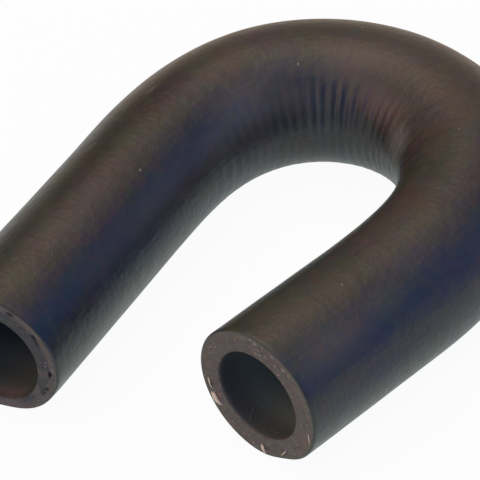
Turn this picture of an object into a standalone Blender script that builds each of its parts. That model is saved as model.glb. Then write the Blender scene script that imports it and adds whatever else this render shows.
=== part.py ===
"""Preformed heater hose: one rubber tube moulded to a U, cut off at both ends and lying on its side.

Run with: blender --background --python part.py
Metres, +Z up. The hose lies on z = 0 with the middle of its box at x = 0, y = 0. Leg A runs along Y.
"""
import math

import bmesh
import bpy

MM = 0.001

# Section of the tube
BORE = 16.0 * MM
WALL = 4.0 * MM

# Route of the middle line, from the cut end of leg A to the cut end of leg B
LEG_A = 26.3 * MM
LEG_B = 41.5 * MM
BEND_RADIUS = 25.5 * MM
BEND_ANGLE = math.radians(195.6)
EASE_A = 31.2 * MM  # length over which leg A curls into the full bend
EASE_B = 34.0 * MM  # the same at leg B
BEND_SWELL = 0.5 * MM  # how much fuller the tube is in the full bend than in the legs

# Knife cuts: how far each end face leans towards the other leg, and how far it leans up
CUT_A_INWARD = math.radians(-2.7)
CUT_A_UP = math.radians(1.6)
CUT_B_INWARD = math.radians(4.4)
CUT_B_UP = math.radians(0.2)
OUTER_EDGE = 0.35 * MM  # rounding of the outer edge of a cut
BORE_EDGE = 0.2 * MM  # chamfer of the bore's edge

# Gathers in the skin, where the inside of the bend was pressed together on its former
GATHERS = 29
GATHER_DEPTH = 0.2 * MM
GATHER_START = 0.75  # share of the ease at leg A that the gathers leave plain
GATHER_END = 0.35  # the same at leg B

# Fineness of the mesh
SIDES = 32  # a multiple of 4, so that one row of points lies along the bottom
LEG_STEP = 6.0 * MM
BORE_STEP = 5.0 * MM
ROUTE_STEP = 0.2 * MM

RADIUS = BORE / 2 + WALL
BEND_LENGTH = BEND_RADIUS * BEND_ANGLE + (EASE_A + EASE_B) / 2  # both eases included
LENGTH = LEG_A + BEND_LENGTH + LEG_B


def clear_scene():
    for item in list(bpy.data.objects):
        bpy.data.objects.remove(item, do_unlink=True)


def bend_share(along):
    """0 in the legs, 1 in the full bend, and between them in the eases."""
    into = (along - LEG_A) / EASE_A
    out = (LENGTH - LEG_B - along) / EASE_B
    return max(0.0, min(1.0, into, out))


def walk_route():
    """Points and headings of the middle line at even steps, seen from above."""
    count = math.ceil(LENGTH / ROUTE_STEP)
    step = LENGTH / count
    x, y, heading = 0.0, 0.0, math.pi / 2
    route = [(x, y, heading)]
    for number in range(count):
        turn = bend_share((number + 0.5) * step) / BEND_RADIUS * step
        x += math.cos(heading + turn / 2) * step
        y += math.sin(heading + turn / 2) * step
        heading += turn
        route.append((x, y, heading))
    return route


def place_on_route(route, along):
    """Point and heading at a length along the middle line."""
    place = max(0.0, min(1.0, along / LENGTH)) * (len(route) - 1)
    number = min(int(place), len(route) - 2)
    part = place - number
    return [a + (b - a) * part for a, b in zip(route[number], route[number + 1])]


def cut_slide(along, angle, radius):
    """How far a point slides along the hose, so that the end faces lie in their knife cuts."""
    inward, up = math.cos(angle), math.sin(angle)
    slide_a = inward * math.tan(CUT_A_INWARD) + up * math.tan(CUT_A_UP)
    slide_b = -inward * math.tan(CUT_B_INWARD) - up * math.tan(CUT_B_UP)
    fade_a = max(0.0, 1 - along / LEG_A)
    fade_b = max(0.0, 1 - (LENGTH - along) / LEG_B)
    return radius * (slide_a * fade_a + slide_b * fade_b)


def gather_press(number, angle):
    """Depth of a station of the bend's skin: every second one is a groove, deepest on the inside."""
    if number % 2 == 0:
        return 0.0
    across = math.sin(math.pi * number / (2 * GATHERS)) ** 0.5
    around = ((1 + math.cos(angle)) / 2) ** 2
    return GATHER_DEPTH * across * around


def outer_stations():
    """(length along, radius, gather number) of each ring of the outer skin, from end A to end B."""
    corner = [(OUTER_EDGE * (1 - math.cos(turn)), RADIUS - OUTER_EDGE * (1 - math.sin(turn)))
              for turn in (0.0, math.pi / 4)]
    stations = [(along, radius, 0) for along, radius in corner]
    start, end = LEG_A + EASE_A * GATHER_START, LENGTH - LEG_B - EASE_B * GATHER_END
    steps_a = math.ceil((start - OUTER_EDGE) / LEG_STEP)
    for number in range(steps_a):
        stations.append((OUTER_EDGE + (start - OUTER_EDGE) * number / steps_a, RADIUS, 0))
    for number in range(2 * GATHERS + 1):
        stations.append((start + (end - start) * number / (2 * GATHERS), RADIUS, number))
    steps_b = math.ceil((LENGTH - OUTER_EDGE - end) / LEG_STEP)
    for number in range(1, steps_b + 1):
        stations.append((end + (LENGTH - OUTER_EDGE - end) * number / steps_b, RADIUS, 0))
    stations += [(LENGTH - along, radius, 0) for along, radius in reversed(corner)]
    return stations


def bore_stations():
    """The same for the bore, from end B back to end A."""
    stations = [(0.0, BORE / 2 + BORE_EDGE, 0)]
    steps = math.ceil((LENGTH - 2 * BORE_EDGE) / BORE_STEP)
    for number in range(steps + 1):
        stations.append((BORE_EDGE + (LENGTH - 2 * BORE_EDGE) * number / steps, BORE / 2, 0))
    stations.append((LENGTH, BORE / 2 + BORE_EDGE, 0))
    return stations[::-1]


def add_ring(mesh, route, along, radius, gather):
    """One ring of points across the hose. Angle 0 looks to the inside of the bend, and 90 degrees up."""
    x, y, heading = place_on_route(route, along)
    swell = BEND_SWELL * bend_share(along)
    on_skin = swell if radius > BORE / 2 + BORE_EDGE else 0.0
    ring = []
    for side in range(SIDES):
        angle = 2 * math.pi * side / SIDES
        reach = radius + on_skin - gather_press(gather, angle)
        inward = reach * math.cos(angle)
        slide = cut_slide(along, angle, radius)
        ring.append(mesh.verts.new((
            x - math.sin(heading) * inward + math.cos(heading) * slide,
            y + math.cos(heading) * inward + math.sin(heading) * slide,
            RADIUS + swell + reach * math.sin(angle))))
    return ring


def loft_rings(mesh, rings):
    """Skin between each ring and the next, and from the last back to the first."""
    for ring, following in zip(rings, rings[1:] + rings[:1]):
        for side in range(SIDES):
            after = (side + 1) % SIDES
            mesh.faces.new((ring[side], ring[after], following[after], following[side]))


def centre_on_origin(mesh):
    """Moves the middle of the hose's box, seen from above, to x = 0, y = 0."""
    for axis in (0, 1):
        reach = [vert.co[axis] for vert in mesh.verts]
        middle = (min(reach) + max(reach)) / 2
        for vert in mesh.verts:
            vert.co[axis] -= middle


def rubber_material():
    material = bpy.data.materials.new("black_rubber")
    material.use_nodes = True
    shader = material.node_tree.nodes["Principled BSDF"]
    shader.inputs["Base Color"].default_value = (0.028, 0.025, 0.022, 1.0)
    shader.inputs["Roughness"].default_value = 0.55
    shader.inputs["Metallic"].default_value = 0.0
    return material


def make_hose(collection):
    """The whole hose: outer skin, end faces and bore as one closed body."""
    route = walk_route()
    mesh = bmesh.new()
    rings = [add_ring(mesh, route, *station) for station in outer_stations() + bore_stations()]
    loft_rings(mesh, rings)
    bmesh.ops.recalc_face_normals(mesh, faces=mesh.faces)
    centre_on_origin(mesh)
    data = bpy.data.meshes.new("hose")
    mesh.to_mesh(data)
    mesh.free()
    data.shade_smooth()
    data.set_sharp_from_angle(angle=math.radians(40))
    data.materials.append(rubber_material())
    collection.objects.link(bpy.data.objects.new("hose", data))


def main():
    clear_scene()
    collection = bpy.data.collections.new("heater_hose")
    bpy.context.scene.collection.children.link(collection)
    make_hose(collection)


main()
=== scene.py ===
"""Looks of the heater hose: rubber skin, cut faces, bore, yarn ends, a hair, light and camera.

Metres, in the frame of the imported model. The hose is first made as if it lay straight, in millimetres:
along it from end A, inward to the inside of the bend, and up. Angles round it are 0 inward and 90 up.
Its materials count in the same lengths, which each point of the mesh keeps.
"""
import math

import bpy
import numpy as np
from mathutils import Matrix, Vector

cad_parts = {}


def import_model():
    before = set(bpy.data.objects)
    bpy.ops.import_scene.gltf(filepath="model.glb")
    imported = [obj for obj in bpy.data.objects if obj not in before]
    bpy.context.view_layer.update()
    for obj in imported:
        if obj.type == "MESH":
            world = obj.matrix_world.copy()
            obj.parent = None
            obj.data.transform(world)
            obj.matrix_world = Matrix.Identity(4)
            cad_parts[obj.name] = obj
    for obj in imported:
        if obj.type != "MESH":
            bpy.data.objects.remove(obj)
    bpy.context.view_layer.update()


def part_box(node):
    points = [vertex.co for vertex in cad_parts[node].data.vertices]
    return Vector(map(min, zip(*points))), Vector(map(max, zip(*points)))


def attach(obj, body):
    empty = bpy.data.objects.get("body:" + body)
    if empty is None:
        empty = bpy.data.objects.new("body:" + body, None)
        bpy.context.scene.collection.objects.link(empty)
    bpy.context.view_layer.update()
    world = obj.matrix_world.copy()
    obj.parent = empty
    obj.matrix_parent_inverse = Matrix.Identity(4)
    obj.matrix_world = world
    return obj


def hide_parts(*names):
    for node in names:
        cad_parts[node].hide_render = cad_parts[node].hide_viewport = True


MM = 0.001

# Section and route, as the solid has them
BORE_RADIUS = 8.0
RADIUS = 12.0
LEG_A = 26.3
LEG_B = 41.5
BEND_RADIUS = 25.5
BEND_ANGLE = math.radians(195.6)
EASE_A = 31.2
EASE_B = 34.0
BEND_SWELL = 0.5
LENGTH = LEG_A + BEND_RADIUS * BEND_ANGLE + (EASE_A + EASE_B) / 2 + LEG_B

# Knife cuts, as the solid has them: turned to the other leg, and up
CUT_A = (math.radians(-2.7), math.radians(1.6))
CUT_B = (math.radians(4.4), math.radians(0.2))
OUTER_EDGE = 0.35
BORE_EDGE = 0.2

# Gathers inside the bend
GATHERS = 29
GATHER_START = LEG_A + 0.75 * EASE_A
GATHER_END = LENGTH - LEG_B - 0.2 * EASE_B
GATHER_DEPTH = 0.27
GATHER_PLACES = [  # length along, gathers passed
    (GATHER_START, 0.0), (66.1, 5.5), (76.7, 8.5), (82.1, 10.5), (94.95, 14.5), (103.4, 17.5),
    (109.9, 19.5), (116.5, 21.5), (127.8, 25.5), (GATHER_END, GATHERS),
]
GATHER_PEAK = 94.5  # where along the bend they stand out most
GATHER_PEAK_REACH = 10.0
GATHER_FAINT = 0.08  # share of their depth that reaches far round the hose
GATHER_BELOW = 0.3  # share of their depth that is left on the lower side

# Unevenness of the skin: heights of its slow and fine waves, and of creases in the corner of the bend
SLOW_WAVES = 0.035
FINE_WAVES = 0.012
CREASE_DEPTH = 0.06
CREASE_PLACE = 71
CREASE_REACH = 6.5
CREASE_TURN = (16, 22)  # angle and spread round the hose

# Ends: both are pressed flat at the lower edge, the cut of B is ragged and its bore opens downwards
END_PRESS = 0.5
END_PRESS_REACH = 3.5
END_PRESS_A = (243, 17)
END_PRESS_B = (278, 16)
RAGGED = 0.16
RAGGED_REACH = 0.8
FLARE = 1.8
FLARE_REACH = 2.2
FLARE_TURN = (285, 50)

# Relief of the cut faces: the drag of the knife, and a faint step at the ring of yarn
KNIFE_DRAG = 0.03
YARN_RADIUS = 10.5
YARN_STEP = 0.035
YARN_STEP_WIDTH = 0.35

# Hollows that the knife left between the layers of end B: angle round the face, radius, half length
# round it, half width, depth
VOIDS_B = [
    (65, 10.9, 0.7, 0.22, 0.5), (37, 10.5, 0.45, 0.22, 0.5), (31, 10.3, 1.0, 0.11, 0.3),
    (354, 10.4, 0.7, 0.2, 0.8), (334, 10.4, 0.35, 0.28, 0.6), (331, 9.8, 0.15, 0.4, 0.3),
    (327, 10.3, 0.6, 0.15, 0.4),
]

# Fineness of the mesh
SIDES = 160
LEG_STEP = 1.5
GATHER_STEPS = 10
GATHER_MARGIN = 4.0  # fine rows before the first gather and after the last
BORE_STEP = 3.0
MOUTH_STEP = 0.55
MOUTH_LENGTH = 9.0
FACE_STEPS = 26
EDGE_STEPS = 4
EDGE_GAP_A = 0.6  # from the rounded edge of a cut to the next row
EDGE_GAP_B = 0.5

# Numbers of the hose's materials
SKIN, CUT, BORE = 0, 1, 2

# Skin: colours, small marks and finish
SKIN_BLACK = (0.017, 0.019, 0.016)
SKIN_BROWN = (0.026, 0.022, 0.020)
SKIN_BLOTCH = (0.034, 0.028, 0.022)
SKIN_DUST = (0.12, 0.105, 0.085)
SKIN_TINGE = 0.022
SKIN_ROUGHNESS = (0.31, 0.39)
KNIT_WAVE = 2.4  # radians per mm, along and round the hose
SPECK_COLOUR = (0.16, 0.14, 0.11)
SPECKS = [  # length along, angle, half size
    (149.2, 64, 0.3), (105.8, 61, 0.3), (94.5, 105, 0.25), (178.0, 133, 0.35), (61.0, 80, 0.2),
    (18.0, 96, 0.2),
]
SCRATCH_COLOUR = (0.14, 0.12, 0.09)
SCRATCH_PLACE = (132.0, 108)
SCRATCH_SIZE = (1.6, 0.4, 0.3)

# Soft tints of the skin, which are painted light and shade: warm painted highlights, dark and blue painted
# shade and painted reflections. Length along, angle round the hose, half length and half width, share,
# colour
SKIN_PAINTED_LIGHT_AND_SHADE = [
    (104, 16, 36, 6.0, 0.5, (0.048, 0.062, 0.066)), (81, 40, 13, 6.0, 0.6, (0.075, 0.034, 0.030)),
    (122, 37, 14, 7.0, 0.7, (0.112, 0.090, 0.056)), (70, 24, 8, 5.0, 0.9, (0.100, 0.096, 0.090)),
    (109, 33, 11, 4.5, 0.7, (0.076, 0.065, 0.034)), (150, 32, 34, 5.2, 0.7, (0.068, 0.055, 0.030)),
    (132, 28, 11, 5.5, 0.7, (0.088, 0.080, 0.056)), (163, 15, 26, 4.5, 0.8, (0.002, 0.012, 0.030)),
    (83, 58, 12, 5.0, 0.8, (0.003, 0.003, 0.003)), (9, 131, 13, 4.2, 0.8, (0.074, 0.058, 0.032)),
    (168, 113, 34, 6.0, 0.9, (0.003, 0.005, 0.006)), (148, 112, 22, 7.0, 1.0, (0.001, 0.002, 0.003)),
    (166, -10, 24, 3.8, 0.7, (0.100, 0.094, 0.062)), (134, 94, 16, 5.0, 0.8, (0.001, 0.002, 0.003)),
    (18, 169, 18, 3.0, 1.0, (0.001, 0.003, 0.022)), (21, 126, 6, 3.5, 0.6, (0.050, 0.056, 0.020)),
]

# Cut faces: the two layers at ends A and B, and what covers them. Each layer is the same rubber at both
# ends; its lighter colour at A and darker, bluer colour at B are painted light and shade
CUT_INNER_LIT_AND_SHADED = ((0.088, 0.075, 0.060), (0.025, 0.030, 0.030))
CUT_OUTER_LIT_AND_SHADED = ((0.102, 0.084, 0.062), (0.082, 0.070, 0.058))
CUT_DARK = (0.056, 0.044, 0.040)
CUT_PALE = (0.150, 0.120, 0.095)
# Painted highlight along the outer edge of the cut faces
CUT_RIM_HIGHLIGHT = (0.115, 0.110, 0.084)
CUT_ROUGHNESS = 0.72
# Painted shade in the hollows of end B, and how far it reaches past them
VOID_PAINTED_SHADE = (0.012, 0.009, 0.010)
VOID_MARGIN = 1.1  # how far the dark of a hollow reaches, as a share of its size
YARN_SPECKS = ((0.9, 0.40), (2.0, 0.21))  # cells per mm, size
YARN_SPECK_RADIUS = 10.2
YARN_SPECK_PALE = (0.30, 0.24, 0.21)
# Painted shade of the small holes at the yarn ring
YARN_HOLE_SHADE = (0.024, 0.018, 0.016)
YARN_SPECKS_AT_B = 0.15  # share of them that is left at end B
CROWD_PLACE = (0.0, -2.6, 9.8)  # where the specks of face A crowd
CROWD_SIZE = (5.0, 8.0, 8.0)
FACE_REACH = 5.0  # how far a mark on a face reaches along the hose

# Marks on the cut faces, partly stains and partly painted light and shade: end, angle round the face,
# radius, half size, share, colour
FACE_STAINS_AND_PAINTED_LIGHT = [
    (0, 330, 9.2, 0.6, 0.6, (0.24, 0.12, 0.06)), (0, 325, 10.5, 1.1, 0.5, (0.22, 0.15, 0.10)),
    (0, 257, 10.4, 0.45, 0.8, (0.020, 0.015, 0.013)), (0, 243, 9.6, 1.6, 0.4, (0.050, 0.040, 0.036)),
    (0, 300, 9.6, 2.0, 0.35, (0.070, 0.070, 0.056)), (0, 108, 10.0, 2.6, 0.5, (0.080, 0.060, 0.060)),
    (0, 196, 10.4, 2.6, 0.6, (0.120, 0.092, 0.058)), (0, 150, 10.2, 2.0, 0.4, (0.110, 0.080, 0.066)),
    (1, 16, 10.3, 0.6, 0.6, (0.065, 0.040, 0.026)), (1, 80, 10.8, 2.4, 0.5, (0.085, 0.056, 0.052)),
    (1, 285, 10.9, 3.0, 0.7, (0.125, 0.096, 0.084)), (1, 322, 10.4, 2.6, 0.6, (0.094, 0.090, 0.074)),
]

# Bore: its lip, wall and depth at ends A and B, each lighter at A and darker at B as painted light and
# shade of one rubber, with the depth painted paler than the wall against the shade deep inside; a paler
# lower wall at A and a brown painted highlight on the lower wall at B
BORE_LIP = ((0.056, 0.056, 0.052), (0.020, 0.022, 0.018))
BORE_WALL = ((0.047, 0.050, 0.043), (0.023, 0.026, 0.018))
BORE_DEEP_PAINTED_LIGHT = ((0.134, 0.156, 0.126), (0.080, 0.090, 0.080))
# Paler colour on the lower wall of the bore near mouth A
BORE_LOWER_PALE = (0.054, 0.056, 0.049)
# Painted highlight: brown light on the lower wall of the bore at the mouth of B
BORE_LOWER_WALL_HIGHLIGHT = (0.056, 0.037, 0.029)
BORE_ROUGHNESS = (0.6, 0.75)
BORE_SPECULAR = 0.3
BORE_SPECK_COLOUR = (0.085, 0.085, 0.080)
BORE_SPECKS = [  # length along, angle, half size
    (1.2, 268, 0.25), (1.8, 252, 0.3), (3.3, 253, 0.3), (0.8, 240, 0.25), (2.6, 280, 0.2),
]

# Yarn and hair
YARN_CREAM = (0.86, 0.73, 0.51)
YARN_PALE = (0.50, 0.42, 0.38)
HAIR_GREY = (0.17, 0.18, 0.16)
FIBRE_SHADE = 0.55  # of the darker grain in a fibre
FIBRE_ROUGHNESS = 0.7
CLUMPS = [  # end, angle and radius of both tips, thickness, fibres
    (0, 347, 10.55, 336, 10.34, 0.20, 3), (0, 332, 10.62, 319, 10.42, 0.33, 5),
    (0, 264, 10.0, 261, 11.4, 0.30, 4), (0, 242, 10.75, 233, 9.95, 0.18, 2),
    (0, 187, 10.8, 196, 11.45, 0.14, 2),
]
CLUMP_POINTS = 8
STUBS = [  # end, angle, radius
    (0, 176, 10.6), (0, 210, 9.8), (0, 221, 9.9), (0, 115, 10.1), (0, 122, 8.9), (0, 84, 10.1),
    (0, 90, 10.9), (0, 96, 9.5), (0, 56, 10.4), (0, 33, 9.9), (0, 21, 10.05), (0, 67, 10.5),
    (0, 2, 9.8), (0, 355, 9.3), (0, 301, 10.3), (0, 293, 10.2), (0, 275, 10.7), (1, 9, 10.2),
    (1, 5, 10.0), (1, 110, 10.4), (1, 200, 10.5),
]
STUB_POINTS = 4
STUB_LIFT = 0.03
HAIR = [  # length along the bore, angle
    (0.7, 288.8), (1.5, 292.8), (2.1, 295.8), (2.8, 298.1), (3.4, 297.4), (3.9, 295.8),
    (4.2, 292.8), (4.3, 289.0),
]
HAIR_THICKNESS = 0.1
HAIR_LIFT = 0.06

# Camera, found from the photograph's outlines
CAMERA_AIM = Vector((-0.99, -3.35, 12.0)) * MM
CAMERA_AZIMUTH = -42.255
CAMERA_ELEVATION = 41.994
CAMERA_ROLL = math.radians(3.51)
CAMERA_DISTANCE = 430.85 * MM
CAMERA_LENS = 196.3
CAMERA_SENSOR = 36.0
CAMERA_NEAREST = 0.01

# Light. Sides are azimuths in degrees
SOFTBOXES = [  # name, azimuth, elevation, distance and size in metres, power, colour
    ("overhead", 168, 84, 1.0, 1.5, 7.7, (1.0, 0.73, 0.59)),
    ("back", 168, 66, 1.0, 0.6, 2.0, (1.0, 0.74, 0.50)),
    ("rear", 118, 18, 1.0, 0.7, 0.4, (1.0, 0.75, 0.60)),
    ("left", -110, 22, 1.0, 1.4, 7.6, (1.0, 0.76, 0.64)),
    ("right", 46, 18, 1.0, 0.9, 1.2, (0.10, 0.30, 1.0)),
]
ROOM_WARM = (0.32, 0.26, 0.20)
ROOM_COOL = (0.07, 0.22, 0.60)
ROOM_WARM_SIDE = 168
ROOM_SOFTNESS = 0.5

# Floor: its paint, and its glow as the camera sees it and as the hose mirrors it. The mirrored glow
# carries painted shade near the hose and painted green and warm tints for the hose's reflected edges
FLOOR_HALF = 3.0
FLOOR_PAINT = (0.74, 0.82, 0.85)
FLOOR_SEEN = 0.95
FLOOR_MIRRORED = 0.82
FLOOR_BACK_SIDE = 118
# Painted shade and painted reflected colour in the floor's mirrored glow, by place
FLOOR_MIRRORED_SHADE_AND_TINT = [  # metres towards the back side, colour of the mirrored glow
    (-0.03, (0.92, 1.0, 0.93)), (0.02, (0.80, 0.88, 0.87)), (0.05, (0.82, 0.89, 0.87)),
    (0.09, (0.92, 0.73, 0.55)),
]
WHITE = (1.0, 1.0, 1.0)


def bend_share(along):
    """0 in the legs, 1 in the full bend, and between them in the eases."""
    into = (along - LEG_A) / EASE_A
    out = (LENGTH - LEG_B - along) / EASE_B
    return np.clip(np.minimum(into, out), 0.0, 1.0)


def walk_route(step=0.1):
    """Middle line at even steps: lengths along, x, y and headings, before it is centred."""
    along = np.linspace(0.0, LENGTH, math.ceil(LENGTH / step) + 1)
    curvature = bend_share(along) / BEND_RADIUS
    gap = along[1]
    turned = np.cumsum((curvature[1:] + curvature[:-1]) / 2 * gap)
    heading = math.pi / 2 + np.concatenate(([0.0], turned))
    middle = (heading[1:] + heading[:-1]) / 2
    x = np.concatenate(([0.0], np.cumsum(np.cos(middle) * gap)))
    y = np.concatenate(([0.0], np.cumsum(np.sin(middle) * gap)))
    return along, x, y, heading


ROUTE = walk_route()


def bend_to_route(along, inward, up, slide):
    """Takes points of the straight hose to the bent one. slide moves a point along the hose."""
    x = np.interp(along, ROUTE[0], ROUTE[1])
    y = np.interp(along, ROUTE[0], ROUTE[2])
    heading = np.interp(along, ROUTE[0], ROUTE[3])
    return np.stack([x - np.sin(heading) * inward + np.cos(heading) * slide,
                     y + np.cos(heading) * inward + np.sin(heading) * slide,
                     RADIUS + BEND_SWELL * bend_share(along) + up], axis=-1)


def cut_slide(along, inward, up):
    """How far a point slides along the hose, so that the end faces lie in their knife cuts."""
    slide_a = inward * math.tan(CUT_A[0]) + up * math.tan(CUT_A[1])
    slide_b = -inward * math.tan(CUT_B[0]) - up * math.tan(CUT_B[1])
    fade_a = np.clip(1 - along / LEG_A, 0.0, 1.0)
    fade_b = np.clip(1 - (LENGTH - along) / LEG_B, 0.0, 1.0)
    return slide_a * fade_a + slide_b * fade_b


def smooth_step(low, high, value):
    """0 up to low, 1 from high, and a smooth way between them."""
    part = np.clip((value - low) / (high - low), 0.0, 1.0)
    return part * part * (3 - 2 * part)


def fade(away, reach):
    """1 at a place, falling off over a reach on both sides of it."""
    return np.exp(-(away / reach) ** 2)


def bulge(angle, degrees, spread):
    """1 at an angle round the hose, falling off over a spread on both sides of it, both in degrees."""
    turn = (np.degrees(angle) - degrees + 180) % 360 - 180
    return fade(turn, spread)


def wander(seed, first, second, waves=7):
    """A smooth random height between about -1 and 1, from a sum of slanted waves."""
    rng = np.random.default_rng(seed)
    height = np.zeros(np.broadcast(first, second).shape)
    for _ in range(waves):
        heading = rng.uniform(0, 2 * math.pi)
        pitch = rng.uniform(0.5, 1.8)
        phase = rng.uniform(0, 2 * math.pi)
        height = height + np.sin((first * math.cos(heading) + second * math.sin(heading)) * pitch + phase)
    return height / waves ** 0.5


def gather_press(along, angle):
    """Depth of the gathers: narrow grooves across the hose, on the inside of the bend only."""
    place = (along - GATHER_START) / (GATHER_END - GATHER_START)
    drift = 0.05 * wander(3, along * 0.16, angle * 2.2) + 0.03 * wander(4, along * 0.8, angle * 3.0)
    passed = np.interp(along, *zip(*GATHER_PLACES)) + drift
    groove = 0.5 + 0.5 * np.cos(2 * math.pi * passed)
    peak = fade(along - GATHER_PEAK, GATHER_PEAK_REACH)
    unevenness = 0.5 + 0.2 * wander(5, along * 0.4, angle * 1.3) + 0.4 * peak
    ends = smooth_step(-0.05, 0.15, place) * smooth_step(-0.05, 0.2, 1 - place)
    wide = smooth_step(-0.2, 0.4, np.cos(angle))
    narrow = smooth_step(0.58, 0.90, np.cos(angle))
    above = smooth_step(-0.4, 0.25, np.sin(angle))
    inside = GATHER_FAINT * wide + (1 - GATHER_FAINT) * narrow
    inside = inside * (GATHER_BELOW + (1 - GATHER_BELOW) * above)
    return GATHER_DEPTH * groove * unevenness * ends * inside


def skin_relief(along, angle):
    """Height of the skin over its plain radius: slow and fine waves and creases, less the gathers."""
    slow = SLOW_WAVES * wander(11, along * 0.11, np.cos(angle) * 2.0)
    fine = FINE_WAVES * wander(12, along * 0.6, np.sin(angle) * 5)
    corner = fade(along - CREASE_PLACE, CREASE_REACH) * bulge(angle, *CREASE_TURN)
    creases = CREASE_DEPTH * corner * wander(13, along * 3.4, angle * 26)
    return slow + fine + creases - gather_press(along, angle)


def end_shape(along, angle):
    """How the ends depart from round: both are pressed a little flat, and the cut of B is ragged."""
    to_b = LENGTH - along
    pressed_a = END_PRESS * bulge(angle, *END_PRESS_A) * fade(along, END_PRESS_REACH)
    pressed_b = END_PRESS * bulge(angle, *END_PRESS_B) * fade(to_b, END_PRESS_REACH)
    ragged = RAGGED * wander(31, angle * 6, 0.0) * fade(to_b, RAGGED_REACH)
    return ragged - pressed_a - pressed_b


def mouth_flare(along, angle):
    """The bore opens downwards at the mouth of B, where the wall is cut thin."""
    return FLARE * bulge(angle, *FLARE_TURN) * fade(LENGTH - along, FLARE_REACH)


def face_relief(end, angle, radius):
    """Depth pressed into a cut face: knife drag, a faint step at the yarn, and the hollows of end B."""
    first, second = radius * np.cos(angle), radius * np.sin(angle)
    depth = KNIFE_DRAG + KNIFE_DRAG * wander(21 + end, first * 0.9, second * 0.9)
    step = YARN_STEP * fade(radius - YARN_RADIUS, YARN_STEP_WIDTH)
    depth = depth + step * (1 + wander(23 + end, angle * 9, radius))
    if end == 1:
        for degrees, reach, half_length, half_width, deep in VOIDS_B:
            turn = (angle - math.radians(degrees) + math.pi) % (2 * math.pi) - math.pi
            spread = (turn * reach / half_length) ** 2 + ((radius - reach) / half_width) ** 2
            depth = depth + deep * np.exp(-spread)
    at_bore = smooth_step(BORE_RADIUS + BORE_EDGE, BORE_RADIUS + 0.6, radius)
    return depth * at_bore * smooth_step(RADIUS - OUTER_EDGE, RADIUS - 0.7, radius)


def outer_rows():
    """(along, radius) of the rings of the skin, from the corner of end A to the corner of end B."""
    turn = np.linspace(0.0, math.pi / 2, EDGE_STEPS + 1)
    corner_along = OUTER_EDGE * (1 - np.cos(turn))
    corner_radius = RADIUS - OUTER_EDGE * (1 - np.sin(turn))
    start, end = GATHER_START - GATHER_MARGIN, GATHER_END + GATHER_MARGIN
    fine_rows = round((end - start) / (GATHER_END - GATHER_START) * GATHERS * GATHER_STEPS)
    leg_a = np.arange(OUTER_EDGE + EDGE_GAP_A, start, LEG_STEP)
    leg_b = np.arange(end + LEG_STEP, LENGTH - OUTER_EDGE - EDGE_GAP_B, LEG_STEP)
    plain = np.concatenate([leg_a, np.linspace(start, end, fine_rows), leg_b])
    along = np.concatenate([corner_along, plain, LENGTH - corner_along[::-1]])
    radius = np.concatenate([corner_radius, np.full(len(plain), RADIUS), corner_radius[::-1]])
    return along, radius


def face_rows(along):
    """(along, radius) of the rings of one cut face, from its bore edge outwards."""
    radius = np.linspace(BORE_RADIUS + BORE_EDGE, RADIUS - OUTER_EDGE, FACE_STEPS + 2)[:-1]
    return np.full(len(radius), along), radius


def bore_rows():
    """(along, radius) of the rings of the bore, finer near both mouths."""
    mouth = np.arange(BORE_EDGE, MOUTH_LENGTH, MOUTH_STEP)
    inner = np.arange(MOUTH_LENGTH, LENGTH - MOUTH_LENGTH, BORE_STEP)
    along = np.concatenate([mouth, inner, LENGTH - mouth[::-1]])
    return along, np.full(len(along), BORE_RADIUS)


def hose_rows():
    """(along, radius, material) of all rings: face A outwards, skin, face B inwards, bore back to A."""
    parts = [(CUT, face_rows(0.0)), (SKIN, outer_rows()),
             (CUT, [row[::-1] for row in face_rows(LENGTH)]), (BORE, [row[::-1] for row in bore_rows()])]
    along = np.concatenate([rows[0] for _, rows in parts])
    radius = np.concatenate([rows[1] for _, rows in parts])
    material = np.concatenate([np.full(len(rows[0]), number) for number, rows in parts])
    return along, radius, material


def hose_points(along, radius, kind, angle):
    """Points of the bent hose with all its relief, and the same points of the straight one."""
    on_skin_only = kind == SKIN
    relief = np.where(on_skin_only, skin_relief(along, angle), 0.0)
    relief = relief * smooth_step(0.0, 2.0, np.minimum(along, LENGTH - along))
    reach = radius + relief + np.where(on_skin_only, BEND_SWELL * bend_share(along), 0.0)
    across_wall = np.clip((radius - BORE_RADIUS) / (RADIUS - BORE_RADIUS), 0.0, 1.0)
    reach = reach + across_wall ** 2 * end_shape(along, angle)
    reach = reach + (1 - across_wall) * mouth_flare(along, angle)
    inward, up = reach * np.cos(angle), reach * np.sin(angle)
    depth_a = np.where((kind == CUT) & (along < 1), face_relief(0, angle, radius), 0.0)
    depth_b = np.where((kind == CUT) & (along > 1), face_relief(1, angle, radius), 0.0)
    slide = cut_slide(along, inward, up) + depth_a - depth_b
    return bend_to_route(along, inward, up, slide), np.stack([along, inward, up], axis=-1)


def make_hose_mesh():
    """One closed surface: its points, quads, their materials and the points of the straight hose."""
    along, radius, material = hose_rows()
    angle = np.linspace(0.0, 2 * math.pi, SIDES, endpoint=False)
    columns = (along[:, None], radius[:, None], material[:, None], angle[None, :])
    points, straight = hose_points(*np.broadcast_arrays(*columns))
    row = np.arange(len(along))[:, None]
    side = np.arange(SIDES)[None, :]
    after = (side + 1) % SIDES
    ring = row * SIDES
    following = (row + 1) % len(along) * SIDES
    quads = np.stack([ring + side, ring + after, following + after, following + side], axis=-1)
    materials = np.repeat(np.minimum(material, np.roll(material, -1)), SIDES)
    return points.reshape(-1, 3), quads.reshape(-1, 4), materials, straight.reshape(-1, 3)


def route_offset(points, box):
    """What takes the hose from its own start to its place in the frame: the boxes' middles meet."""
    low, high = (np.array(corner) / MM for corner in box)
    shift = (low + high) / 2 - (points.min(axis=0) + points.max(axis=0)) / 2
    return np.array([shift[0], shift[1], 0.0])


def add_object(name, data):
    """A new object in the scene."""
    item = bpy.data.objects.new(name, data)
    bpy.context.scene.collection.objects.link(item)
    return item


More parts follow.
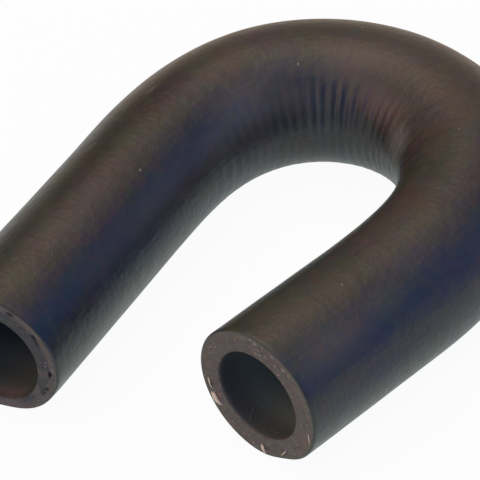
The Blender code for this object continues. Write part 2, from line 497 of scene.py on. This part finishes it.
def make_hose(box):
    """The dressed hose, and how far it was shifted from the start of its route."""
    points, quads, materials, straight = make_hose_mesh()
    shift = route_offset(points, box)
    mesh = bpy.data.meshes.new("hose_skin")
    mesh.from_pydata(((points + shift) * MM).tolist(), [], quads.tolist())
    mesh.polygons.foreach_set("material_index", materials.astype(np.int32))
    laid_straight = mesh.attributes.new("straight", "FLOAT_VECTOR", "POINT")
    laid_straight.data.foreach_set("vector", straight.ravel().astype(np.float32))
    mesh.shade_smooth()
    for material in (skin_material(), cut_material(), bore_material()):
        mesh.materials.append(material)
    return add_object("hose_skin", mesh), shift


class Nodes:
    """Short ways to add nodes to one tree and link them. Colours are sockets or three parts."""

    def __init__(self, tree):
        self.tree = tree

    def add(self, kind, settings=None, **inputs):
        node = self.tree.nodes.new(kind)
        for key, value in (settings or {}).items():
            setattr(node, key, value)
        for key, value in inputs.items():
            self.feed(node.inputs[key], value)
        return node

    def feed(self, socket, value):
        if isinstance(value, bpy.types.NodeSocket):
            self.tree.links.new(value, socket)
        elif socket.type == "RGBA":
            socket.default_value = (*value, 1.0)
        else:
            socket.default_value = value

    def feed_all(self, node, values):
        for socket, value in zip(node.inputs, values):
            self.feed(socket, value)
        return node

    def math(self, operation, first, second=0.0, third=0.0):
        node = self.add("ShaderNodeMath", {"operation": operation})
        return self.feed_all(node, (first, second, third)).outputs[0]

    def product(self, first, second):
        return self.math("MULTIPLY", first, second)

    def vector(self, operation, *values):
        """A calculation with vectors. Lengths and dot products come out as numbers."""
        node = self.feed_all(self.add("ShaderNodeVectorMath", {"operation": operation}), values)
        return node.outputs["Value" if operation in ("LENGTH", "DOT_PRODUCT") else "Vector"]

    def span(self, value, low, high, to_low=0.0, to_high=1.0, way="SMOOTHSTEP"):
        """to_low where the value is at low, to_high where it is at high, and a way between them."""
        node = self.add("ShaderNodeMapRange", {"interpolation_type": way})
        return self.feed_all(node, (value, low, high, to_low, to_high)).outputs[0]

    def mix(self, amount, first, second):
        node = self.add("ShaderNodeMix", {"data_type": "RGBA"})
        self.feed(node.inputs[0], amount)
        self.feed(node.inputs[6], first)
        self.feed(node.inputs[7], second)
        return node.outputs[2]

    def mix_shaders(self, amount, first, second):
        return self.feed_all(self.add("ShaderNodeMixShader"), (amount, first, second)).outputs[0]

    def straight(self):
        """Point of the straight hose, and its parts."""
        point = self.add("ShaderNodeAttribute", {"attribute_name": "straight"}).outputs["Vector"]
        parts = self.add("ShaderNodeSeparateXYZ", Vector=point).outputs
        return point, parts[0], parts[1], parts[2]

    def noise(self, point, scale, detail=2.0, stretch=(1.0, 1.0, 1.0)):
        vector = self.add("ShaderNodeMapping", Vector=point, Scale=stretch).outputs[0]
        return self.add("ShaderNodeTexNoise", Vector=vector, Scale=scale, Detail=detail).outputs[0]

    def tinge(self, point, colour, scale, amount):
        """Lets each channel of a colour wander by itself, by half an amount up or down at the most."""
        noise = self.add("ShaderNodeTexNoise", Vector=point, Scale=scale, Detail=2.0).outputs["Color"]
        away = self.vector("MULTIPLY_ADD", noise, (amount,) * 3, (-amount / 2,) * 3)
        return self.vector("ADD", colour, away)

    def specks(self, inward, up, scale, size):
        """Round specks strewn over a cut face: how much a place is in one, and a number drawn for each."""
        place = self.add("ShaderNodeCombineXYZ", X=inward, Y=up).outputs[0]
        cells = self.add("ShaderNodeTexVoronoi", {"voronoi_dimensions": "2D"}, Vector=place, Scale=scale)
        drawn = self.add("ShaderNodeSeparateColor", Color=cells.outputs["Color"]).outputs[0]
        return self.span(cells.outputs["Distance"], size * scale * 0.5, size * scale, 1.0, 0.0), drawn

    def spot(self, point, centre, half_size, core=0.55):
        """1 round a point of the straight hose, falling from a core to 0 at its half size on each axis."""
        scaled = self.vector("DIVIDE", self.vector("SUBTRACT", point, centre), half_size)
        return self.span(self.vector("LENGTH", scaled), core, 1.0, 1.0, 0.0)

    def bump(self, height, depth, base=None):
        node = self.add("ShaderNodeBump", Strength=1.0, Distance=depth * MM, Height=height)
        if base is not None:
            self.feed(node.inputs["Normal"], base)
        return node.outputs[0]


def new_material(name):
    """A material, its nodes and the inputs of its shader."""
    material = bpy.data.materials.new(name)
    material.use_nodes = True
    tree = material.node_tree
    return material, Nodes(tree), tree.nodes["Principled BSDF"].inputs


def on_ring(along, degrees, radius):
    """Point of the straight hose at an angle and a radius."""
    turn = math.radians(degrees)
    return (along, radius * math.cos(turn), radius * math.sin(turn))


def on_skin(along, degrees):
    """Point of the straight hose on its skin."""
    return on_ring(along, degrees, RADIUS + BEND_SWELL * float(bend_share(along)))


def skin_colour(nodes, point, blotch):
    """Black and brown rubber with soft tints of painted light and shade, dust, specks and a scratch."""
    mottle = nodes.noise(point, 0.09, 3.0, (0.6, 1.0, 1.0))
    colour = nodes.mix(nodes.span(mottle, 0.35, 0.65), SKIN_BLACK, SKIN_BROWN)
    colour = nodes.mix(nodes.span(blotch, 0.45, 0.75, 0.0, 0.35), colour, SKIN_BLOTCH)
    # Painted highlights, painted shade and painted reflections laid over the rubber as soft tints
    for length, degrees, half_length, half_width, share, painted_light in SKIN_PAINTED_LIGHT_AND_SHADE:
        where = nodes.spot(point, on_skin(length, degrees), (half_length, half_width, half_width), 0.1)
        colour = nodes.mix(nodes.product(where, share), colour, painted_light)
    for scale in (0.12, 0.5):
        colour = nodes.tinge(point, colour, scale, SKIN_TINGE)
    dust = nodes.span(nodes.noise(point, 2.6, 1.0), 0.72, 0.8, 0.0, 0.5)
    colour = nodes.mix(dust, colour, SKIN_DUST)
    for length, degrees, size in SPECKS:
        colour = nodes.mix(nodes.spot(point, on_skin(length, degrees), (size,) * 3), colour, SPECK_COLOUR)
    scratch = nodes.spot(point, on_skin(*SCRATCH_PLACE), SCRATCH_SIZE)
    return nodes.mix(nodes.product(scratch, 0.35), colour, SCRATCH_COLOUR)


def skin_normal(nodes, point, along, inward, up):
    """A fine pebble, the ghost of the knitted yarn, and slow unevenness."""
    arc = nodes.product(nodes.math("ARCTAN2", up, inward), RADIUS)
    left = nodes.math("SINE", nodes.product(nodes.math("ADD", along, arc), KNIT_WAVE))
    right = nodes.math("SINE", nodes.product(nodes.math("SUBTRACT", along, arc), KNIT_WAVE))
    normal = nodes.bump(nodes.noise(point, 5.0, 3.0), 0.05)
    normal = nodes.bump(nodes.product(left, right), 0.006, normal)
    return nodes.bump(nodes.noise(point, 0.7, 2.0), 0.1, normal)


def skin_material():
    """Satin black rubber with a brown bloom."""
    material, nodes, shader = new_material("rubber_skin")
    point, along, inward, up = nodes.straight()
    blotch = nodes.noise(point, 0.5, 2.0)
    nodes.feed(shader["Base Color"], skin_colour(nodes, point, blotch))
    nodes.feed(shader["Roughness"], nodes.span(blotch, 0.2, 0.8, *SKIN_ROUGHNESS))
    nodes.feed(shader["Normal"], skin_normal(nodes, point, along, inward, up))
    return material


def cut_layers(nodes, point, reach, end_b, grain):
    """The two layers of the wall, lighter at A and darker at B as painted light and shade, with a wavering
    border, mottled, with marks that are partly stains and partly painted light and shade, and a paler rim
    that is a painted highlight.
    """
    border = nodes.math("ADD", reach, nodes.product(nodes.math("SUBTRACT", grain, 0.5), 0.8))
    # One rubber per layer: the colour at A is painted light and the colour at B is painted shade
    inner = nodes.mix(end_b, *CUT_INNER_LIT_AND_SHADED)
    outer = nodes.mix(end_b, *CUT_OUTER_LIT_AND_SHADED)
    colour = nodes.mix(nodes.span(border, YARN_RADIUS - 0.4, YARN_RADIUS + 0.1), inner, outer)
    colour = nodes.mix(nodes.span(grain, 0.35, 0.7, 0.0, 0.5), colour, CUT_DARK)
    pale = nodes.span(nodes.noise(point, 0.5, 2.0), 0.5, 0.75, 0.0, 0.4)
    colour = nodes.mix(pale, colour, CUT_PALE)
    # Marks on the faces: stains, and painted light and shade where a face is lit or shaded
    for end, degrees, radius, size, share, stain_and_light in FACE_STAINS_AND_PAINTED_LIGHT:
        where = nodes.spot(point, on_ring(end * LENGTH, degrees, radius), (FACE_REACH, size, size), 0.2)
        colour = nodes.mix(nodes.product(where, share), colour, stain_and_light)
    # Paler rim at the outer edge: a painted highlight
    colour = nodes.mix(nodes.span(reach, RADIUS - 0.7, RADIUS - 0.2, 0.0, 0.6), colour, CUT_RIM_HIGHLIGHT)
    return nodes.tinge(point, nodes.tinge(point, colour, 0.9, 0.03), 2.5, 0.02)


def cut_specks(nodes, colour, reach, end_b, fine):
    """Pale specks of cut yarn, and dark specks of painted shade in the small holes at the yarn, crowded in
    places and fewer at end B.
    """
    point, along, inward, up = nodes.straight()
    away = nodes.math("ABSOLUTE", nodes.math("SUBTRACT", reach, YARN_SPECK_RADIUS))
    in_ring = nodes.span(away, 0.5, 1.8, 1.0, 0.3)
    crowded = nodes.spot(point, CROWD_PLACE, CROWD_SIZE, 0.4)
    patchy = nodes.math("MAXIMUM", nodes.span(nodes.noise(point, 0.45, 1.0), 0.45, 0.65), crowded)
    left_at_end = nodes.math("SUBTRACT", 1.0, nodes.product(end_b, 1 - YARN_SPECKS_AT_B))
    patchy = nodes.product(patchy, left_at_end)
    crooked = nodes.math("ADD", inward, nodes.math("ADD", along, nodes.span(fine, 0.3, 0.7, -0.2, 0.2)))
    for scale, size in YARN_SPECKS:
        speck, drawn = nodes.specks(crooked, up, scale, size)
        speck = nodes.product(nodes.product(speck, in_ring), patchy)
        pale = nodes.product(speck, nodes.span(drawn, 0.78, 0.95))
        hole_shade = nodes.product(speck, nodes.span(drawn, 0.22, 0.08))
        colour = nodes.mix(nodes.product(pale, 0.7), colour, YARN_SPECK_PALE)
        colour = nodes.mix(nodes.product(hole_shade, 0.8), colour, YARN_HOLE_SHADE)
    return colour


def cut_void_shade(nodes, colour, point):
    """Painted shade: darkens the hollows of end B a little beyond their own size."""
    for degrees, radius, half_length, half_width, deep in VOIDS_B:
        _, across, rise = (abs(part) for part in on_ring(0.0, degrees, 1.0))
        half_across = (half_length * rise + half_width * across) * VOID_MARGIN
        half_up = (half_length * across + half_width * rise) * VOID_MARGIN
        hollow_shade = nodes.spot(point, on_ring(LENGTH, degrees, radius), (FACE_REACH, half_across, half_up))
        colour = nodes.mix(nodes.product(hollow_shade, min(1.0, deep * 1.6)), colour, VOID_PAINTED_SHADE)
    return colour


def cut_material():
    """Dull cut rubber."""
    material, nodes, shader = new_material("rubber_cut")
    point, along, inward, up = nodes.straight()
    reach = nodes.math("SQRT", nodes.math("ADD", nodes.product(inward, inward), nodes.product(up, up)))
    end_b = nodes.math("GREATER_THAN", along, LENGTH / 2)
    grain = nodes.noise(point, 1.4, 3.0)
    fine = nodes.noise(point, 6.0, 2.0)
    colour = cut_layers(nodes, point, reach, end_b, grain)
    colour = cut_specks(nodes, colour, reach, end_b, fine)
    nodes.feed(shader["Base Color"], cut_void_shade(nodes, colour, point))
    nodes.feed(shader["Roughness"], CUT_ROUGHNESS)
    nodes.feed(shader["Normal"], nodes.bump(grain, 0.25, nodes.bump(fine, 0.12)))
    return material


def bore_colour(nodes):
    """Lip, wall and depth of both ends, lighter at A and darker at B as painted light and shade, the depth
    painted paler, with a paler lower wall and specks at A and a brown painted highlight on the lower wall
    of B.
    """
    point, along, inward, up = nodes.straight()
    to_mouth = nodes.math("MINIMUM", along, nodes.math("SUBTRACT", LENGTH, along))
    end_b = nodes.math("GREATER_THAN", along, LENGTH / 2)
    lip, wall, deep = (nodes.mix(end_b, *pair) for pair in (BORE_LIP, BORE_WALL, BORE_DEEP_PAINTED_LIGHT))
    colour = nodes.mix(nodes.span(to_mouth, 0.2, 1.8), lip, wall)
    # Painted light: deep in the bore the colour is paler than the wall, against the shade there
    colour = nodes.mix(nodes.span(to_mouth, 1.0, 8.0), colour, deep)
    # Paler on the lower wall near mouth A
    lower_pale = nodes.product(nodes.span(along, 5.0, 0.5), nodes.span(up, -4.0, -7.5))
    lower_pale = nodes.product(lower_pale, nodes.span(nodes.noise(point, 0.9, 3.0), 0.3, 0.7, 0.2, 1.0))
    colour = nodes.mix(lower_pale, colour, BORE_LOWER_PALE)
    for length, degrees, size in BORE_SPECKS:
        where = nodes.spot(point, on_ring(length, degrees, BORE_RADIUS), (size,) * 3)
        colour = nodes.mix(where, colour, BORE_SPECK_COLOUR)
    # Painted highlight on the lower wall at the mouth of B
    lit_under_b = nodes.product(nodes.span(along, LENGTH - 2.4, LENGTH - 1.2), nodes.span(up, -4.0, -7.0))
    lit_under_b = nodes.product(lit_under_b, nodes.span(inward, 6.5, 3.0, 0.15, 1.0))
    return nodes.mix(lit_under_b, colour, BORE_LOWER_WALL_HIGHLIGHT)


def bore_material():
    """Smooth moulded bore, black with a cold tint."""
    material, nodes, shader = new_material("rubber_bore")
    point = nodes.straight()[0]
    nodes.feed(shader["Base Color"], bore_colour(nodes))
    nodes.feed(shader["Roughness"], nodes.span(nodes.noise(point, 0.8, 2.0), 0.3, 0.7, *BORE_ROUGHNESS))
    nodes.feed(shader["Specular IOR Level"], BORE_SPECULAR)
    nodes.feed(shader["Normal"], nodes.bump(nodes.noise(point, 3.0, 2.0), 0.05))
    return material


def fibre_material(name, colour):
    """Dull fibre with a fine, darker grain."""
    material, nodes, shader = new_material(name)
    grain = nodes.add("ShaderNodeTexNoise", Scale=9000.0, Detail=1.0).outputs[0]
    shade = tuple(part * FIBRE_SHADE for part in colour)
    nodes.feed(shader["Base Color"], nodes.mix(nodes.span(grain, 0.3, 0.7), shade, colour))
    nodes.feed(shader["Roughness"], FIBRE_ROUGHNESS)
    return material


def add_fibres(name, lines, material):
    """Round fibres as one mesh. Each is a list of points in metres, each with its thickness in mm."""
    curve = bpy.data.curves.new(name, "CURVE")
    curve.dimensions = "3D"
    curve.bevel_depth = MM
    curve.bevel_resolution = 1
    curve.use_fill_caps = True
    for line in lines:
        spline = curve.splines.new("POLY")
        spline.points.add(len(line) - 1)
        for place, (point, thickness) in zip(spline.points, line):
            place.co = (*point, 1.0)
            place.radius = thickness / 2
    tubes = add_object(name + "_line", curve)
    mesh = bpy.data.meshes.new_from_object(tubes.evaluated_get(bpy.context.evaluated_depsgraph_get()))
    bpy.data.objects.remove(tubes)
    mesh.name = name
    mesh.shade_smooth()
    mesh.materials.clear()
    mesh.materials.append(material)
    return add_object(name, mesh)


def place_on_face(end, degrees, radius, proud, shift):
    """Point in metres on a cut face, standing proud of it by so many mm."""
    along, inward, up = on_ring(end * LENGTH, degrees, radius)
    slide = float(cut_slide(along, inward, up)) + (proud if end == 1 else -proud)
    return (bend_to_route(along, inward, up, slide) + shift) * MM


def taper(part, thickness):
    """Thickness of a fibre that thins out to both tips."""
    return thickness * max(0.15, math.sin(math.pi * part)) ** 0.6


def clump_lines(shift):
    """Fibres of a clump lie side by side along the cut and curl a little out of it."""
    rng = np.random.default_rng(8)
    lines = []
    for end, start, start_radius, stop, stop_radius, thickness, count in CLUMPS:
        for number in range(count):
            aside = (number - (count - 1) / 2) * thickness * 0.45
            slip = rng.normal(0, 0.6)
            lift = rng.uniform(0.3, 0.9) * thickness
            line = []
            for part in np.linspace(0.0, 1.0, CLUMP_POINTS):
                degrees = start + (stop - start) * part + slip
                radius = start_radius + (stop_radius - start_radius) * part + aside + rng.normal(0, 0.03)
                point = place_on_face(end, degrees, radius, lift * math.sin(math.pi * part), shift)
                line.append((point, taper(part, thickness)))
            lines.append(line)
    return lines


def stub_lines(shift):
    """Short single ends, each slanting a little its own way."""
    rng = np.random.default_rng(9)
    lines = []
    for end, degrees, radius in STUBS:
        slant = rng.normal(0, 1.2)
        out = rng.normal(0, 0.12)
        thickness = rng.uniform(0.17, 0.30)
        line = []
        for part in np.linspace(0.0, 1.0, STUB_POINTS):
            point = place_on_face(end, degrees + slant * part, radius + out * part, STUB_LIFT, shift)
            line.append((point, taper(part, thickness)))
        lines.append(line)
    return lines


def hair_line(shift):
    """One thin hair that lies on the lower wall of the bore, at the mouth of leg A."""
    places = [on_ring(along, degrees, BORE_RADIUS - HAIR_LIFT) for along, degrees in HAIR]
    return [((bend_to_route(*place, 0.0) + shift) * MM, HAIR_THICKNESS) for place in places]


def direction(azimuth, elevation=0.0):
    """The way to something seen from the hose, from degrees."""
    flat, rise = math.radians(azimuth), math.radians(elevation)
    return Vector((math.cos(flat) * math.cos(rise), math.sin(flat) * math.cos(rise), math.sin(rise)))


def floor_painted_glow(nodes, camera_sees):
    """Colour of the floor's glow: white to the camera, and by its place where the hose mirrors it, with
    painted shade near the hose, green-white in front and warm at the back.
    """
    place = nodes.add("ShaderNodeTexCoord").outputs["Object"]
    back = nodes.vector("DOT_PRODUCT", place, direction(FLOOR_BACK_SIDE))
    first, last = FLOOR_MIRRORED_SHADE_AND_TINT[0][0], FLOOR_MIRRORED_SHADE_AND_TINT[-1][0]
    ramp = nodes.add("ShaderNodeValToRGB")
    nodes.feed(ramp.inputs[0], nodes.span(back, first, last, way="LINEAR"))
    stops = ramp.color_ramp.elements
    for reach, _ in FLOOR_MIRRORED_SHADE_AND_TINT[1:-1]:
        stops.new((reach - first) / (last - first))
    for stop, (_, colour) in zip(stops, FLOOR_MIRRORED_SHADE_AND_TINT):
        stop.color = (*colour, 1.0)
    return nodes.mix(camera_sees, ramp.outputs[0], WHITE)


def floor_material():
    """Pale paint that keeps the shadow, under a glow of its own."""
    material, nodes, _ = new_material("pale_floor")
    nodes.tree.nodes.remove(nodes.tree.nodes["Principled BSDF"])
    rays = nodes.add("ShaderNodeLightPath").outputs
    amount = 0.0
    for ray, glow in (("Is Camera Ray", FLOOR_SEEN), ("Is Glossy Ray", FLOOR_MIRRORED),
                      ("Is Transmission Ray", FLOOR_MIRRORED)):
        amount = nodes.math("MULTIPLY_ADD", rays[ray], glow, amount)
    paint = nodes.add("ShaderNodeBsdfDiffuse", Color=FLOOR_PAINT).outputs[0]
    shine = nodes.add("ShaderNodeEmission", Color=floor_painted_glow(nodes, rays["Is Camera Ray"])).outputs[0]
    surface = nodes.tree.nodes["Material Output"].inputs["Surface"]
    nodes.feed(surface, nodes.mix_shaders(amount, paint, shine))
    return material


def add_floor():
    """A wide plain floor at the height that the hose lies on."""
    mesh = bpy.data.meshes.new("floor")
    corners = [(FLOOR_HALF * x, FLOOR_HALF * y, 0.0) for x, y in ((-1, -1), (1, -1), (1, 1), (-1, 1))]
    mesh.from_pydata(corners, [], [(0, 1, 2, 3)])
    mesh.materials.append(floor_material())
    floor = add_object("floor", mesh)


def add_softbox(name, azimuth, elevation, distance, size, power, colour):
    """A square soft light that looks at the hose from a direction, in degrees."""
    light = bpy.data.lights.new(name, "AREA")
    light.size = size
    light.energy = power
    light.color = colour
    towards = direction(azimuth, elevation)
    lamp = add_object(name, light)
    lamp.location = CAMERA_AIM + towards * distance
    lamp.rotation_euler = towards.to_track_quat("Z", "Y").to_euler()


def add_world():
    """A dim room, warm on one side and cool on the other. The camera sees white instead."""
    world = bpy.data.worlds.new("studio")
    bpy.context.scene.world = world
    world.use_nodes = True
    nodes = Nodes(world.node_tree)
    room = world.node_tree.nodes["Background"]
    place = nodes.add("ShaderNodeTexCoord").outputs["Generated"]
    warm = nodes.vector("DOT_PRODUCT", place, direction(ROOM_WARM_SIDE))
    warm = nodes.span(warm, -ROOM_SOFTNESS, ROOM_SOFTNESS)
    nodes.feed(room.inputs["Color"], nodes.mix(warm, ROOM_COOL, ROOM_WARM))
    white = nodes.add("ShaderNodeBackground", Color=WHITE).outputs[0]
    camera_sees = nodes.add("ShaderNodeLightPath").outputs["Is Camera Ray"]
    surface = world.node_tree.nodes["World Output"].inputs["Surface"]
    nodes.feed(surface, nodes.mix_shaders(camera_sees, room.outputs[0], white))


def add_camera():
    """The camera of the photograph, rolled a little about its line of sight."""
    camera = bpy.data.cameras.new("camera")
    camera.lens = CAMERA_LENS
    camera.sensor_width = CAMERA_SENSOR
    camera.clip_start = CAMERA_NEAREST
    towards = direction(CAMERA_AZIMUTH, CAMERA_ELEVATION)
    level = direction(CAMERA_AZIMUTH + 90)
    upright = towards.cross(level)
    right = level * math.cos(CAMERA_ROLL) - upright * math.sin(CAMERA_ROLL)
    top = upright * math.cos(CAMERA_ROLL) + level * math.sin(CAMERA_ROLL)
    holder = add_object("camera", camera)
    place = CAMERA_AIM + towards * CAMERA_DISTANCE
    holder.matrix_world = Matrix.Translation(place) @ Matrix((right, top, towards)).transposed().to_4x4()
    bpy.context.scene.camera = holder


def main():
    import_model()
    bpy.context.scene.view_settings.view_transform = "Standard"
    add_camera()
    add_world()
    add_floor()
    for softbox in SOFTBOXES:
        add_softbox(*softbox)
    hose, shift = make_hose(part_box("hose"))
    clumps = add_fibres("yarn_clumps", clump_lines(shift), fibre_material("yarn_cream", YARN_CREAM))
    stubs = add_fibres("yarn_stubs", stub_lines(shift), fibre_material("yarn_pale", YARN_PALE))
    lint = add_fibres("lint", [hair_line(shift)], fibre_material("lint_grey", HAIR_GREY))
    for piece in (hose, clumps, stubs, lint):
        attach(piece, "root")
    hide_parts("hose")


main()
